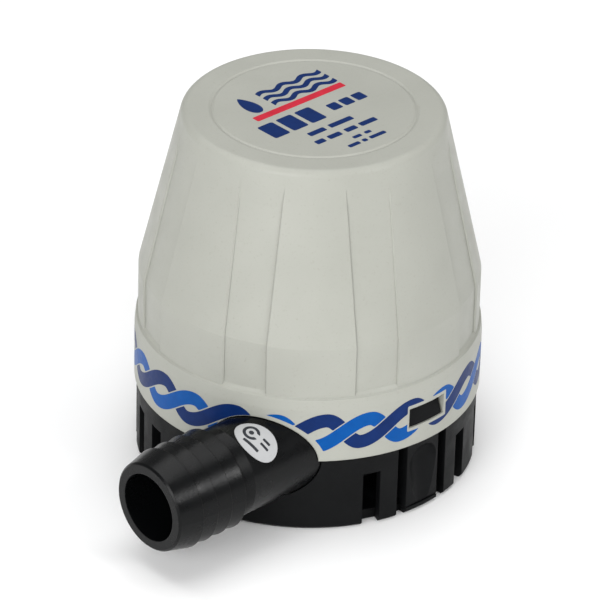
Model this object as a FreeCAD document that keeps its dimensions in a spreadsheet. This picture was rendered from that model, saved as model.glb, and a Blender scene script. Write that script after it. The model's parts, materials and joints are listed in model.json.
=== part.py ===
import FreeCAD, Part
import os
import re

import Sketcher

# Submersible centrifugal bilge pump, in millimetres.
# The origin is the centre of the strainer's underside and +Z points up. The hose tail points along -X,
# and the release latch with the cover's window is on the front, -Y. A bearing is an angle about +Z that
# is zero at the front: it turns the front's outward direction, -Y, towards +X.

DIMENSIONS = {
    # how far a cutting tool passes beyond the solid that it cuts
    "overcut": 1.0,
    # cover: an upright skirt, a sloped ledge, an upright band, then a cone with raised panels
    "cover_radius": 36.0,
    "cover_bottom": 16.8,
    "cover_top": 78.5,
    "skirt_top": 28.6,
    "skirt_wall": 1.8,
    "skirt_rounding": 4.0,
    "panel_radius": 35.3,
    "panel_bottom": 31.3,
    "ledge_step": 0.45,
    "ledge_rise": 0.3,
    "kink_height": 42.5,
    "cone_slope": 0.235,
    "shell_wall": 2.3,
    "top_wall": 2.2,
    "top_rounding": 1.6,
    "channel_width": 9.0,
    "channel_depth": 0.5,
    "channel_bottom": 32.0,
    "channel_top": 75.6,
    "channel_flare": 0.3,
    "channel_fade": 0.05,
    "channel_shoulder": 70.5,
    "channel_shallow": 0.36,
    "channel_reach": 4.0,
    "channel_bearing": 25.5,
    "ring_radius": 20.85,
    "ring_width": 1.0,
    "ring_depth": 0.25,
    "window_width": 9.6,
    "window_low": 21.1,
    "window_high": 25.6,
    "seal_land_radius": 33.0,
    "seal_land_low": 27.2,
    # hose tail: a tube along -X, off the pump's axis, with saw-tooth barbs
    "tail_offset": 17.0,
    "tail_height": 15.3,
    "tail_reach": 58.5,
    "tail_bore": 7.25,
    "mouth_radius": 9.5,
    "barb_crest": 10.7,
    "barb_root": 9.9,
    "barb_pitch": 3.75,
    "first_barb": 53.1,
    "mouth_chamfer": 0.4,
    "barb_end": 41.6,
    # root of the hose tail: a slimmer tube, parallel to the barbs, that runs in under the cover
    "root_offset": 18.3,
    "root_height": 16.5,
    "root_radius": 9.5,
    "root_end": 39.5,
    "root_clearance": 0.2,
    "passage_offset": 17.6,
    "passage_height": 15.9,
    "passage_radius": 6.3,
    "passage_end": 38.0,
    # strainer
    "strainer_radius": 35.5,
    "strainer_wall": 2.0,
    "floor_thickness": 2.2,
    "foot_inset": 0.7,
    "rim_radius": 34.05,
    "rim_wall": 1.65,
    "rim_top": 19.6,
    "rim_slope": 1.0,
    "slot_width": 3.8,
    "slot_top": 12.4,
    "slot_depth": 2.4,
    "mount_hole_radius": 2.1,
    "mount_circle_radius": 25.0,
    "standoff_radius": 2.0,
    "standoff_circle": 18.0,
    "bay_depth": 4.5,
    "saddle_inner": 15.0,
    # latches
    "latch_width": 8.6,
    "latch_gap": 2.4,
    "latch_face": 35.35,
    "latch_arm_face": 33.6,
    "latch_arm_back": 31.7,
    "latch_top": 25.3,
    "latch_thickness": 3.4,
    "latch_root": 4.5,
    "shoulder_drop": 2.0,
    "edge_gap": 0.3,
    "hook_reach": 35.8,
    "hook_top_reach": 34.4,
    "hook_low": 21.3,
    "pivot_radius": 34.25,
    "pivot_height": 2.3,
    "knuckle_radius": 1.1,
    "bay_bottom": 1.5,
    "dish_radius": 4.3,
    "dish_depth": 2.4,
    "dish_top": 11.5,
    "dish_tilt": 13.0,
    "running_clearance": 0.05,
    # volute
    "volute_shift": 1.25,
    "chamber_radius": 23.0,
    "volute_wall": 2.0,
    "chamber_bottom": 8.0,
    "chamber_top": 22.5,
    "inlet_radius": 9.0,
    "inlet_plate_bottom": 5.5,
    "neck_radius": 29.0,
    "flange_radius": 32.85,
    "flange_bottom": 27.5,
    "flange_thickness": 2.0,
    "flange_top": 33.5,
    "ring_seat_radius": 31.3,
    "ring_seat_height": 31.25,
    "ring_groove_half": 0.9,
    "flange_lip": 1.5,
    "can_gap": 0.3,
    "can_sleeve": 2.0,
    "boss_gap": 0.2,
    "cover_gap": 0.3,
    "inlet_flare": 2.0,
    "inlet_flare_depth": 1.4,
    "boss_circle": 26.0,
    "boss_radius": 3.2,
    "cover_screw_radius": 1.25,
    "cover_screw_length": 11.0,
    "cover_screw_head": 2.5,
    "cover_head_height": 1.7,
    "screw_clearance": 0.15,
    "head_clearance": 0.1,
    "head_face": 0.8,
    "head_rounding": 0.4,
    "screw_point": 1.0,
    "recess_length": 2.4,
    "recess_width": 0.6,
    # impeller, shaft and shaft seal
    "impeller_radius": 19.5,
    "impeller_bottom": 9.3,
    "impeller_top": 21.4,
    "hub_radius": 4.2,
    "vane_thickness": 1.3,
    "shaft_radius": 1.585,
    "shaft_bottom": 11.5,
    "shaft_top": 69.6,
    "seal_radius": 4.75,
    "seal_pocket_depth": 3.0,
    "shaft_hole_radius": 2.0,
    "vane_bend": 11.0,
    "vane_root": 0.3,
    "vane_inset": 0.1,
    "disc_thickness": 1.4,
    "nose_drop": 0.8,
    "nose_rise": 0.7,
    "nose_taper": 1.5,
    "washer_low": 0.1,
    "washer_high": 0.7,
    "washer_gap": 0.6,
    "seal_throat": 1.4,
    "lip_root": 0.9,
    "lip_low": 1.1,
    "lip_high": 1.4,
    "lip_back": 1.6,
    "ring_gap": 0.01,
    "gasket_margin": 0.1,
    # motor
    "can_radius": 18.0,
    "can_wall": 1.0,
    "can_bottom": 28.3,
    "can_top": 66.0,
    "can_floor": 1.2,
    "can_boss_radius": 5.0,
    "can_boss_height": 1.6,
    "boss_recess_radius": 5.3,
    "shaft_gap": 0.4,
    "bush_radius": 3.5,
    "low_bush_bottom": 27.4,
    "low_bush_top": 31.4,
    "top_bush_bottom": 66.6,
    "top_bush_top": 70.2,
    "bearing_clearance": 0.03,
    "motor_screw_circle": 11.0,
    "motor_screw_radius": 1.45,
    "motor_screw_head": 2.7,
    "motor_head_depth": 2.1,
    "motor_screw_length": 8.0,
    "shaft_chamfer": 0.3,
    "end_play": 0.1,
    "low_washer_wall": 1.6,
    "low_washer_height": 0.4,
    "top_washer_wall": 1.4,
    "top_washer_height": 0.5,
    "spacer_wall": 1.2,
    "spigot_gap": 0.1,
    "spigot_wall": 1.4,
    "spigot_depth": 1.0,
    "bell_thickness": 2.0,
    "bush_housing": 1.6,
    "bush_cap": 1.2,
    "bell_pad_length": 6.0,
    "core_radius": 12.6,
    "core_hub_radius": 5.2,
    "tooth_width": 2.4,
    "slot_opening": 2.0,
    "coil_inner": 6.3,
    "coil_outer": 10.1,
    "coil_width": 2.1,
    "end_turn": 2.2,
    "coil_gap": 0.02,
    "tip_thickness": 1.8,
    "core_bottom": 36.0,
    "core_top": 56.0,
    "magnet_bore": 13.1,
    "magnet_low": 33.0,
    "magnet_high": 58.0,
    "magnet_gap": 0.02,
    "magnet_half_angle": 68.0,
    "clip_half_angle": 18.0,
    "clip_thickness": 0.6,
    "clip_inset": 6.0,
    "commutator_radius": 4.2,
    "commutator_low": 59.6,
    "commutator_high": 65.0,
    "riser_height": 1.0,
    "riser_reach": 1.2,
    "slit_depth": 1.2,
    "slit_width": 0.4,
    "brush_height": 62.3,
    "brush_width": 3.6,
    "brush_depth": 4.0,
    "brush_length": 6.0,
    "brush_play": 0.05,
    "holder_wall": 0.5,
    "holder_start": 5.6,
    "holder_end": 14.9,
    "spring_radius": 1.2,
    "spring_wire": 0.22,
    "spring_gap": 0.1,
    "blade_place": 12.2,
    "blade_thickness": 0.8,
    "blade_width": 4.8,
    "blade_top": 74.5,
    "blade_gap": 0.05,
    "blade_hole": 0.9,
    "blade_hole_drop": 2.0,
    # lead gland and label
    "gland_height": 38.9,
    "gland_radius": 3.5,
    "gland_flange": 5.2,
    "gland_inside": 2.0,
    "gland_outside": 3.4,
    "flange_inside": 1.6,
    "flange_outside": 1.8,
    "wire_radius": 1.1,
    "wire_spacing": 3.0,
    "label_thickness": 0.15,
    "label_gap": 0.01,
    "label_place": 35.2,
    "label_length": 9.9,
    "label_width": 7.7,
    "label_roll": 31.0,
    "label_tilt": -74.0,
}

LATCHES = {"front_latch": 0, "rear_latch": 180}
SLOT_PITCH = 13.3
SLOT_BEARINGS = (
    [-20.5, 20.5, -159.5, 159.5]
    + [40 + SLOT_PITCH * step for step in range(8)]
    + [-103.2 - SLOT_PITCH * step for step in range(4)]
)
STANDOFF_BEARINGS = (0, 120, 240)
MOUNT_HOLES = 3
BOSS_BEARINGS = (45, 135, 225)
GLAND_BEARING = 138
PANELS = 8
POLES = 5
VANES = 5
BARBS = 4
SPRING_TURNS = 4
BLADE_CORNERS = ("blade_place", "-blade_place - blade_thickness")

X_AXIS = FreeCAD.Vector(1, 0, 0)
Y_AXIS = FreeCAD.Vector(0, 1, 0)
Z_AXIS = FreeCAD.Vector(0, 0, 1)

doc = FreeCAD.newDocument("BilgePump")
sheet = doc.addObject("Spreadsheet::Sheet", "Sizes")
for row, (alias, number) in enumerate(DIMENSIONS.items(), start=1):
    sheet.set(f"A{row}", alias.replace("_", " "))
    sheet.set(f"B{row}", str(number))
    sheet.setAlias(f"B{row}", alias)
doc.recompute()


def formula(text):
    """Turn the sheet's aliases in a formula into references to the sheet."""
    return re.sub(r"[a-z][a-z_]+", lambda word: ("Sizes." if word[0] in DIMENSIONS else "") + word[0], text)


def value(text):
    """Work out a formula from the sheet, in millimetres."""
    return float(sheet.evalExpression(formula(text)))


def bind(thing, settings):
    """Bind properties of an object to formulas of the sheet."""
    for name, text in settings.items():
        thing.setExpression(name, formula(text))
    return thing


# ---- sketches and PartDesign features ------------------------------------------------------------


def new_body(name):
    body = doc.addObject("PartDesign::Body", name)
    body.Label = name
    return body


def origin_feature(body, role):
    return next(item for item in body.Origin.OriginFeatures if item.Role == role)


def new_sketch(body, plane, offset="0", bearing=0):
    """A sketch on an origin plane, moved along its normal; on XZ its normal turns to the bearing."""
    sketch = body.newObject("Sketcher::SketchObject", body.Name + "_sketch")
    sketch.AttachmentSupport = [(origin_feature(body, plane), "")]
    sketch.MapMode = "FlatFace"
    turn = FreeCAD.Rotation(Y_AXIS, bearing)
    sketch.AttachmentOffset = FreeCAD.Placement(turn.multVec(Z_AXIS * value(offset)), turn)
    if not bearing:
        bind(sketch, {"AttachmentOffset.Base.z": offset})
    return sketch


def pin(sketch, item, point, place):
    """Hold a sketch point at a pair of formulas, counted from the sketch's origin."""
    for kind, text in zip(("DistanceX", "DistanceY"), place):
        index = sketch.addConstraint(Sketcher.Constraint(kind, -1, 1, item, point, value(text)))
        sketch.setExpression(f"Constraints[{index}]", formula(text))


def draw_polygon(sketch, corners):
    places = [FreeCAD.Vector(value(x), value(y), 0) for x, y in corners]
    first = sketch.GeometryCount
    for start, end in zip(places, places[1:] + places[:1]):
        sketch.addGeometry(Part.LineSegment(start, end), False)
    last = sketch.GeometryCount - 1
    for item, corner in enumerate(corners, start=first):
        before = last if item == first else item - 1
        sketch.addConstraint(Sketcher.Constraint("Coincident", before, 2, item, 1))
        pin(sketch, item, 1, corner)
    return sketch


def draw_circle(sketch, x, y, radius):
    centre = FreeCAD.Vector(value(x), value(y), 0)
    item = sketch.addGeometry(Part.Circle(centre, Z_AXIS, value(radius)), False)
    pin(sketch, item, 3, (x, y))
    index = sketch.addConstraint(Sketcher.Constraint("Radius", item, value(radius)))
    sketch.setExpression(f"Constraints[{index}]", formula(radius))
    return sketch


def draw_box(sketch, left, low, right, high):
    return draw_polygon(sketch, [(left, low), (right, low), (right, high), (left, high)])


def check_change(body, before, grows):
    doc.recompute()
    change = body.Shape.Volume - before
    if abs(change) < 1e-6 or (change > 0) != grows:
        raise RuntimeError(f"{body.Label}: a feature changed the volume by {change:.4f}")


def volume(body):
    doc.recompute()
    return body.Shape.Volume if body.Shape.Solids else 0.0


def pad(body, sketch, length, centred=False):
    before = volume(body)
    feature = body.newObject("PartDesign::Pad", body.Name + "_pad")
    feature.Profile = sketch
    feature.Midplane = centred
    bind(feature, {"Length": length})
    check_change(body, before, grows=True)
    return feature


def pocket(body, sketch, length, forward=False, centred=False):
    """Cut a sketch into the body: against the sketch's normal, or along it when forward is true."""
    before = volume(body)
    feature = body.newObject("PartDesign::Pocket", body.Name + "_pocket")
    feature.Profile = sketch
    feature.Reversed = forward
    feature.Midplane = centred
    bind(feature, {"Length": length})
    check_change(body, before, grows=False)
    return feature


def revolve(body, corners, cut=False):
    """Turn a profile of (radius, height) formulas about the body's Z axis."""
    before = volume(body)
    sketch = draw_polygon(new_sketch(body, "XZ_Plane"), corners)
    kind = "Groove" if cut else "Revolution"
    feature = body.newObject(f"PartDesign::{kind}", body.Name + "_turn")
    feature.Profile = sketch
    feature.ReferenceAxis = (sketch, ["V_Axis"])
    feature.Angle = 360
    check_change(body, before, grows=not cut)
    return feature


def polar(body, feature, count, grows):
    before = volume(body)
    pattern = body.newObject("PartDesign::PolarPattern", body.Name + "_polar")
    pattern.Originals = [feature]
    pattern.Axis = (origin_feature(body, "Z_Axis"), [""])
    pattern.Angle = 360
    pattern.Occurrences = count
    body.Tip = pattern
    check_change(body, before, grows)
    return pattern


def soften(body, kind, size, chosen):
    """Fillet or chamfer the edges that a test picks."""
    doc.recompute()
    base = body.Tip
    edges = [f"Edge{i}" for i, edge in enumerate(base.Shape.Edges, start=1) if chosen(edge)]
    feature = body.newObject(f"PartDesign::{kind}", body.Name + "_edge")
    feature.Base = (base, edges)
    bind(feature, {"Radius" if kind == "Fillet" else "Size": size})
    doc.recompute()
    return feature


def is_hoop(radius, height):
    """Test for a full circle about the Z axis at a radius and height."""
    wanted = (value(radius), value(height))

    def chosen(edge):
        if not isinstance(edge.Curve, Part.Circle):
            return False
        centre = edge.Curve.Center
        on_axis = abs(centre.x) < 1e-3 and abs(centre.y) < 1e-3
        return on_axis and abs(edge.Curve.Radius - wanted[0]) < 1e-3 and abs(centre.z - wanted[1]) < 1e-3

    return chosen


def turned(name, corners):
    body = new_body(name)
    revolve(body, corners)
    return body


def tube(name, outer, inner, low, high):
    return turned(name, [(inner, low), (outer, low), (outer, high), (inner, high)])


# ---- Part primitives and booleans ----------------------------------------------------------------


def cylinder(radius, height, place=("0", "0", "0"), rotation=FreeCAD.Rotation()):
    solid = doc.addObject("Part::Cylinder", "Cylinder")
    solid.Placement.Rotation = rotation
    bind(solid, {"Radius": radius, "Height": height})
    return bind(solid, {f"Placement.Base.{axis}": text for axis, text in zip("xyz", place)})


def box(size, place, bearing=0):
    """A box whose corner is at place, in axes turned by the bearing about Z."""
    solid = doc.addObject("Part::Box", "Box")
    bind(solid, dict(zip(("Length", "Width", "Height"), size)))
    if not bearing:
        return bind(solid, {f"Placement.Base.{axis}": text for axis, text in zip("xyz", place)})
    turn = FreeCAD.Rotation(Z_AXIS, bearing)
    solid.Placement = FreeCAD.Placement(turn.multVec(FreeCAD.Vector(*map(value, place))), turn)
    return solid


def radial_box(width, near, far, low, high, bearing):
    """A box that lies across a bearing, from one radius to a larger one."""
    size = (width, f"({far}) - ({near})", f"({high}) - ({low})")
    return box(size, (f"-({width}) / 2", f"-({far})", low), bearing)


def join(name, solids):
    fused = doc.addObject("Part::MultiFuse", name)
    fused.Shapes = solids
    fused.Label = name
    return fused


def cut(name, base, tools):
    doc.recompute()
    before = base.Shape.Volume
    result = doc.addObject("Part::Cut", name)
    result.Base = base
    result.Tool = tools[0] if len(tools) == 1 else join(name + "_tools", tools)
    result.Label = name
    doc.recompute()
    if not result.Shape.Volume < before - 1e-6:
        raise RuntimeError(f"{name}: the cut removed nothing")
    return result


def group(name, solids):
    compound = doc.addObject("Part::Compound", name)
    compound.Links = solids
    compound.Label = name
    return compound


def common(name, base, tool):
    result = doc.addObject("Part::Common", name)
    result.Base = base
    result.Tool = tool
    result.Label = name
    return result


TAIL_TURN = FreeCAD.Rotation(Y_AXIS, -90)


def along_tail(part, radius, start, end):
    """A cylinder on the axis of one part of the hose tail, from one distance towards -X to another."""
    place = (f"-({start})", f"-{part}_offset", f"{part}_height")
    return cylinder(radius, f"({end}) - ({start})", place, TAIL_TURN)


# ---- cover ---------------------------------------------------------------------------------------


def cone_radius(height):
    return f"panel_radius - cone_slope * ({height} - kink_height)"


def channel_section(height):
    """A channel's outline across a bearing at one height: upright sides that flare at the surface."""
    surface = value(f"panel_radius - cone_slope * max({height} ; kink_height) + cone_slope * kink_height")
    half = value("channel_width / 2")
    flare = value("channel_flare")
    side = (surface ** 2 - half ** 2) ** 0.5
    reach = value("channel_reach")
    wide = half + flare
    right = [(half, surface - reach), (half, side - flare), (wide, side), (wide, surface + reach)]
    left = [(-across, out) for across, out in reversed(right)]
    level = value(height)
    return Part.makePolygon([FreeCAD.Vector(across, -out, level) for across, out in right + left + right[:1]])


def channel_bars():
    sections = [channel_section(height) for height in ("panel_bottom", "kink_height", "channel_top")]
    bar = Part.makeLoft(sections, True, True)
    feature = doc.addObject("Part::Feature", "channel_bars")
    bearings = [value("channel_bearing") + 360 / PANELS * step for step in range(PANELS)]
    feature.Shape = Part.makeCompound([bar.rotated(FreeCAD.Vector(), Z_AXIS, turn) for turn in bearings])
    return feature


def make_motor_cover():
    shell = turned("cover_shell", [
        ("cover_radius", "cover_bottom"),
        ("cover_radius", "skirt_top"),
        ("panel_radius + ledge_step", "panel_bottom - ledge_rise"),
        ("panel_radius", "panel_bottom"),
        ("panel_radius", "kink_height"),
        (cone_radius("cover_top"), "cover_top"),
        ("0", "cover_top"),
        ("0", "cover_top - top_wall"),
        (cone_radius("(cover_top - top_wall)") + " - shell_wall", "cover_top - top_wall"),
        ("seal_land_radius", "kink_height"),
        ("seal_land_radius", "seal_land_low"),
        ("cover_radius - skirt_wall", "seal_land_low"),
        ("cover_radius - skirt_wall", "cover_bottom"),
    ])
    soften(shell, "Fillet", "top_rounding", is_hoop(cone_radius("cover_top"), "cover_top"))
    soften(shell, "Fillet", "skirt_rounding", is_hoop("cover_radius", "skirt_top"))
    revolve(shell, [
        ("ring_radius - ring_width", "cover_top + ring_depth"),
        ("ring_radius", "cover_top - ring_depth"),
        ("ring_radius + ring_width", "cover_top + ring_depth"),
    ], cut=True)

    channel_ring = turned("channel_ring", [
        ("panel_radius", "panel_bottom"),
        ("panel_radius - channel_depth", "channel_bottom"),
        ("panel_radius - channel_depth", "kink_height"),
        (cone_radius("channel_shoulder") + " - channel_shallow", "channel_shoulder"),
        (cone_radius("channel_top") + " + channel_fade", "channel_top"),
        ("cover_radius + channel_reach", "channel_top"),
        ("cover_radius + channel_reach", "panel_bottom"),
    ])
    channels = common("channels", channel_ring, channel_bars())
    outside = "cover_radius + overcut"
    windows = [
        radial_box("window_width", "seal_land_radius", outside, "window_low", "window_high", bearing)
        for bearing in LATCHES.values()
    ]
    arch = along_tail("root", "root_radius + root_clearance", "saddle_inner", outside)
    gland_hole = across_cover("gland_radius", "0", outside)
    return cut("motor_cover", shell, [channels, arch, gland_hole] + windows)


# ---- strainer and latches ------------------------------------------------------------------------


def make_strainer():
    base = turned("strainer_shell", [
        ("0", "0"),
        ("strainer_radius - foot_inset", "0"),
        ("strainer_radius", "foot_inset"),
        ("strainer_radius", "cover_bottom"),
        ("rim_radius", "cover_bottom"),
        ("rim_radius", "rim_top"),
        ("rim_radius - rim_wall", "rim_top"),
        ("rim_radius - rim_wall", "slot_top + rim_slope"),
        ("strainer_radius - strainer_wall", "slot_top"),
        ("strainer_radius - strainer_wall", "floor_thickness"),
        ("0", "floor_thickness"),
    ])
    for bearing in STANDOFF_BEARINGS:
        sketch = new_sketch(base, "XY_Plane")
        draw_circle(sketch, *on_circle("standoff_circle", bearing), "standoff_radius")
        pad(base, sketch, "inlet_plate_bottom")
    holes = new_sketch(base, "XY_Plane")
    draw_circle(holes, "0", "mount_circle_radius", "mount_hole_radius")
    hole = pocket(base, holes, "floor_thickness + overcut", forward=True)
    polar(base, hole, MOUNT_HOLES, grows=False)

    outside = "strainer_radius + overcut"
    slots = [
        radial_box("slot_width", "strainer_radius - slot_depth", outside, "-overcut", "slot_top", bearing)
        for bearing in SLOT_BEARINGS
    ]
    opening = "latch_width + 2 * latch_gap"
    gap_size = ("latch_gap", "slot_depth + overcut", "floor_thickness + overcut")
    bays = []
    for bearing in LATCHES.values():
        back = "strainer_radius - bay_depth"
        bays.append(radial_box(opening, back, outside, "bay_bottom", "rim_top + overcut", bearing))
        bays.append(knuckle("knuckle_radius + running_clearance", opening, bearing))
        for start in ("latch_width / 2", "-latch_width / 2 - latch_gap"):
            bays.append(box(gap_size, (start, f"-({outside})", "-overcut"), bearing))
    saddle = along_tail("root", "root_radius + root_clearance", "saddle_inner", outside)
    saddle_mouth = box(
        (f"{outside} - saddle_inner", "2 * (root_radius + root_clearance)", "root_radius"),
        (f"-({outside})", "-root_offset - root_radius - root_clearance", "root_height"),
    )
    return cut("strainer_base", base, slots + bays + [saddle, saddle_mouth])


def on_circle(radius, bearing):
    """The X and Y formulas of a point at a radius and bearing."""
    return (f"{radius} * sin({bearing} deg)", f"-{radius} * cos({bearing} deg)")


def knuckle(radius, width, bearing):
    """A cylinder along a latch's pivot line."""
    roll = cylinder(radius, width, rotation=FreeCAD.Rotation(Y_AXIS, 90))
    side = 1 if bearing else -1
    return bind(roll, {
        "Placement.Base.x": f"-({width}) / 2",
        "Placement.Base.y": f"{side} * pivot_radius",
        "Placement.Base.z": "pivot_height",
    })


def make_latch(name, bearing):
    """A springy arm: thumb pad below the cover's edge, narrow arm and hook behind the cover's skirt."""
    arm = new_body(name + "_arm")
    profile = [
        ("latch_face - 2 * knuckle_radius", "pivot_height"),
        ("latch_face - latch_thickness", "pivot_height + latch_root"),
        ("latch_face - latch_thickness", "cover_bottom - shoulder_drop"),
        ("latch_arm_back", "cover_bottom - edge_gap"),
        ("latch_arm_back", "latch_top"),
        ("hook_reach", "latch_top"),
        ("hook_reach", "hook_low"),
        ("latch_arm_face", "hook_low"),
        ("latch_arm_face", "cover_bottom - edge_gap"),
        ("latch_face", "cover_bottom - edge_gap"),
        ("latch_face", "pivot_height"),
    ]
    sketch = new_sketch(arm, "YZ_Plane")
    draw_polygon(sketch, [(f"-({out})", height) for out, height in profile])
    pad(arm, sketch, "latch_width", centred=True)

    turn = FreeCAD.Rotation(Z_AXIS, bearing)
    tilt = FreeCAD.Rotation(X_AXIS, -value("dish_tilt"))
    dish_top = ("0", "-latch_face - dish_radius + dish_depth", "dish_top")
    dish = cylinder("dish_radius", "2 * dish_top", dish_top, FreeCAD.Rotation(X_AXIS, 180) * tilt)
    cap = doc.addObject("Part::Sphere", "Sphere")
    bind(cap, {"Radius": "dish_radius"})
    bind(cap, {f"Placement.Base.{axis}": text for axis, text in zip("xyz", dish_top)})
    rolled = join(name + "_rolled", [arm, knuckle("knuckle_radius", "latch_width", 0)])
    outline = turned(name + "_outline", [
        ("0", "0"),
        ("latch_face", "0"),
        ("latch_face", "cover_bottom"),
        ("hook_reach", "hook_low"),
        ("hook_top_reach", "latch_top"),
        ("0", "latch_top"),
    ])
    curved = common(name + "_curved", rolled, outline)
    latch = cut(name, curved, [dish, cap])
    latch.Placement = FreeCAD.Placement(FreeCAD.Vector(), turn)
    return latch


# ---- volute --------------------------------------------------------------------------------------


def make_volute_body():
    """The wet end's moulding: motor floor with seal pocket, volute wall, cover bosses and hose tail."""
    hub = turned("motor_floor", [
        ("seal_radius", "chamber_top"),
        ("neck_radius", "chamber_top"),
        ("neck_radius", "flange_bottom"),
        ("flange_radius", "flange_bottom"),
        ("flange_radius", "ring_seat_height - ring_groove_half"),
        ("ring_seat_radius", "ring_seat_height - ring_groove_half"),
        ("ring_seat_radius", "ring_seat_height + ring_groove_half"),
        ("flange_radius", "ring_seat_height + ring_groove_half"),
        ("flange_radius", "flange_top"),
        ("ring_seat_radius - flange_lip", "flange_top"),
        ("ring_seat_radius - flange_lip", "flange_bottom + flange_thickness"),
        ("can_radius + can_gap + can_sleeve", "flange_bottom + flange_thickness"),
        ("can_radius + can_gap + can_sleeve", "flange_top"),
        ("can_radius + can_gap", "flange_top"),
        ("can_radius + can_gap", "flange_bottom"),
        ("boss_recess_radius", "flange_bottom"),
        ("boss_recess_radius", "can_bottom - can_boss_height - boss_gap"),
        ("shaft_hole_radius", "can_bottom - can_boss_height - boss_gap"),
        ("shaft_hole_radius", "chamber_top + seal_pocket_depth"),
        ("seal_radius", "chamber_top + seal_pocket_depth"),
    ])
    place = ("0", "-volute_shift", "chamber_bottom")
    wall = cylinder("chamber_radius + volute_wall", "chamber_top - chamber_bottom", place)
    bosses = at_bosses("boss_radius", "flange_bottom - chamber_bottom", "chamber_bottom")
    solid = join("volute_block", [hub, wall, *bosses, *make_tail()])

    chamber = cylinder("chamber_radius", "chamber_top - chamber_bottom", place)
    swept = "chamber_radius + volute_wall + cover_gap"
    below = cylinder(swept, "chamber_bottom", ("0", "-volute_shift", "0"))
    passage = along_tail("passage", "passage_radius", "0", "passage_end + overcut")
    bore = along_tail("tail", "tail_bore", "passage_end", "tail_reach + overcut")
    pilots = at_bosses("cover_screw_radius + running_clearance", "cover_screw_length", "chamber_bottom")
    through = "flange_bottom - chamber_top + overcut"
    screw_holes = at_motor_screws("motor_screw_radius + screw_clearance", through, "chamber_top")
    head_seats = at_motor_screws("motor_screw_head + head_clearance", "motor_head_depth", "chamber_top")
    return cut("volute_body", solid, [chamber, below, passage, bore, *pilots, *screw_holes, *head_seats])


def at_bosses(radius, height, low):
    """Upright cylinders at the wet end's three screw bosses."""
    return [cylinder(radius, height, (*on_circle("boss_circle", bearing), low)) for bearing in BOSS_BEARINGS]


def at_motor_screws(radius, height, low):
    """Upright cylinders at the motor's two screws."""
    return [cylinder(radius, height, (f"{side} * motor_screw_circle", "0", low)) for side in (-1, 1)]


def barb_place(step):
    """How far along the tail a barb's crest is, counted from the barb nearest the mouth."""
    return f"first_barb - barb_pitch * {step}"


def make_tail():
    """The hose tail: saw-tooth barbs, a short oblique neck and the root that leads into the volute."""
    tail = new_body("hose_barbs")
    profile = [("barb_end", "0"), ("barb_end", "barb_root")]
    for step in reversed(range(BARBS)):
        profile.append((barb_place(step), "barb_crest"))
        if step:
            profile.append((barb_place(step - 1), "barb_root"))
    profile += [
        ("tail_reach - mouth_chamfer", "mouth_radius"),
        ("tail_reach", "mouth_radius - mouth_chamfer"),
        ("tail_reach", "0"),
    ]
    sketch = draw_polygon(new_sketch(tail, "XY_Plane"), profile)
    feature = tail.newObject("PartDesign::Revolution", "hose_barbs_turn")
    feature.Profile = sketch
    feature.ReferenceAxis = (sketch, ["H_Axis"])
    feature.Angle = 360
    check_change(tail, 0.0, grows=True)
    tail.Placement = FreeCAD.Placement(
        FreeCAD.Vector(0, -value("tail_offset"), value("tail_height")), FreeCAD.Rotation(Z_AXIS, 180)
    )
    rims = [("root", "root_radius", "root_end"), ("tail", "barb_root", "barb_end")]
    neck = doc.addObject("Part::Loft", "hose_neck")
    neck.Sections = [tail_ring(*rim) for rim in rims]
    neck.Solid = True
    neck.Ruled = True
    return [tail, neck, along_tail("root", "root_radius", "0", "root_end")]


def tail_ring(part, radius, distance):
    """A circle about the axis of one part of the hose tail."""
    ring = doc.addObject("Part::Circle", "hose_ring")
    ring.Placement.Rotation = TAIL_TURN
    place = {"x": f"-({distance})", "y": f"-{part}_offset", "z": f"{part}_height"}
    bind(ring, {f"Placement.Base.{axis}": text for axis, text in place.items()})
    return bind(ring, {"Radius": radius})


def make_volute_cover():
    plate = cylinder("chamber_radius + volute_wall", "chamber_bottom - inlet_plate_bottom",
                     ("0", "-volute_shift", "inlet_plate_bottom"))
    ears = at_bosses("boss_radius", "chamber_bottom - inlet_plate_bottom", "inlet_plate_bottom")
    inlet = cylinder("inlet_radius", "chamber_bottom + overcut")
    mouth = doc.addObject("Part::Cone", "Cone")
    bind(mouth, {
        "Radius1": "inlet_radius + inlet_flare",
        "Radius2": "inlet_radius",
        "Height": "inlet_flare_depth",
        "Placement.Base.z": "inlet_plate_bottom",
    })
    holes = at_bosses("cover_screw_radius + screw_clearance", "chamber_bottom + overcut", "0")
    return cut("volute_cover", join("inlet_plate", [plate, *ears]), [inlet, mouth, *holes])


def make_screw(name, shank_radius, head_radius, head_bottom, head_height, length):
    """A pan-head screw on the Z axis, head down, with a cross recess."""
    seat = f"{head_bottom} + {head_height}"
    screw = turned(name, [
        ("0", head_bottom),
        (f"{head_radius} * head_face", head_bottom),
        (head_radius, f"{head_bottom} + ({head_height}) * head_rounding"),
        (head_radius, seat),
        (shank_radius, seat),
        (shank_radius, f"{seat} + {length} - screw_point"),
        (f"{shank_radius} / 2", f"{seat} + {length}"),
        ("0", f"{seat} + {length}"),
    ])
    arms = ("recess_length / 2", "recess_width / 2")
    for wide, deep in (arms, arms[::-1]):
        sketch = new_sketch(screw, "XY_Plane", head_bottom)
        draw_box(sketch, f"-{wide}", f"-{deep}", wide, deep)
        pocket(screw, sketch, f"({head_height}) / 2", forward=True)
    return screw


def copies(name, original, places):
    """Identical fasteners: one node of separate solids."""
    placed = []
    for x, y in places:
        link = doc.addObject("Part::Compound", name + "_place")
        link.Links = [original]
        bind(link, {"Placement.Base.x": x, "Placement.Base.y": y})
        placed.append(link)
    return group(name, placed)


def make_volute_screws():
    low, height = "inlet_plate_bottom - cover_head_height", "cover_head_height"
    screw = make_screw(
        "cover_screw", "cover_screw_radius", "cover_screw_head", low, height, "cover_screw_length"
    )
    return copies("volute_screws", screw, [on_circle("boss_circle", bearing) for bearing in BOSS_BEARINGS])


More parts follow.
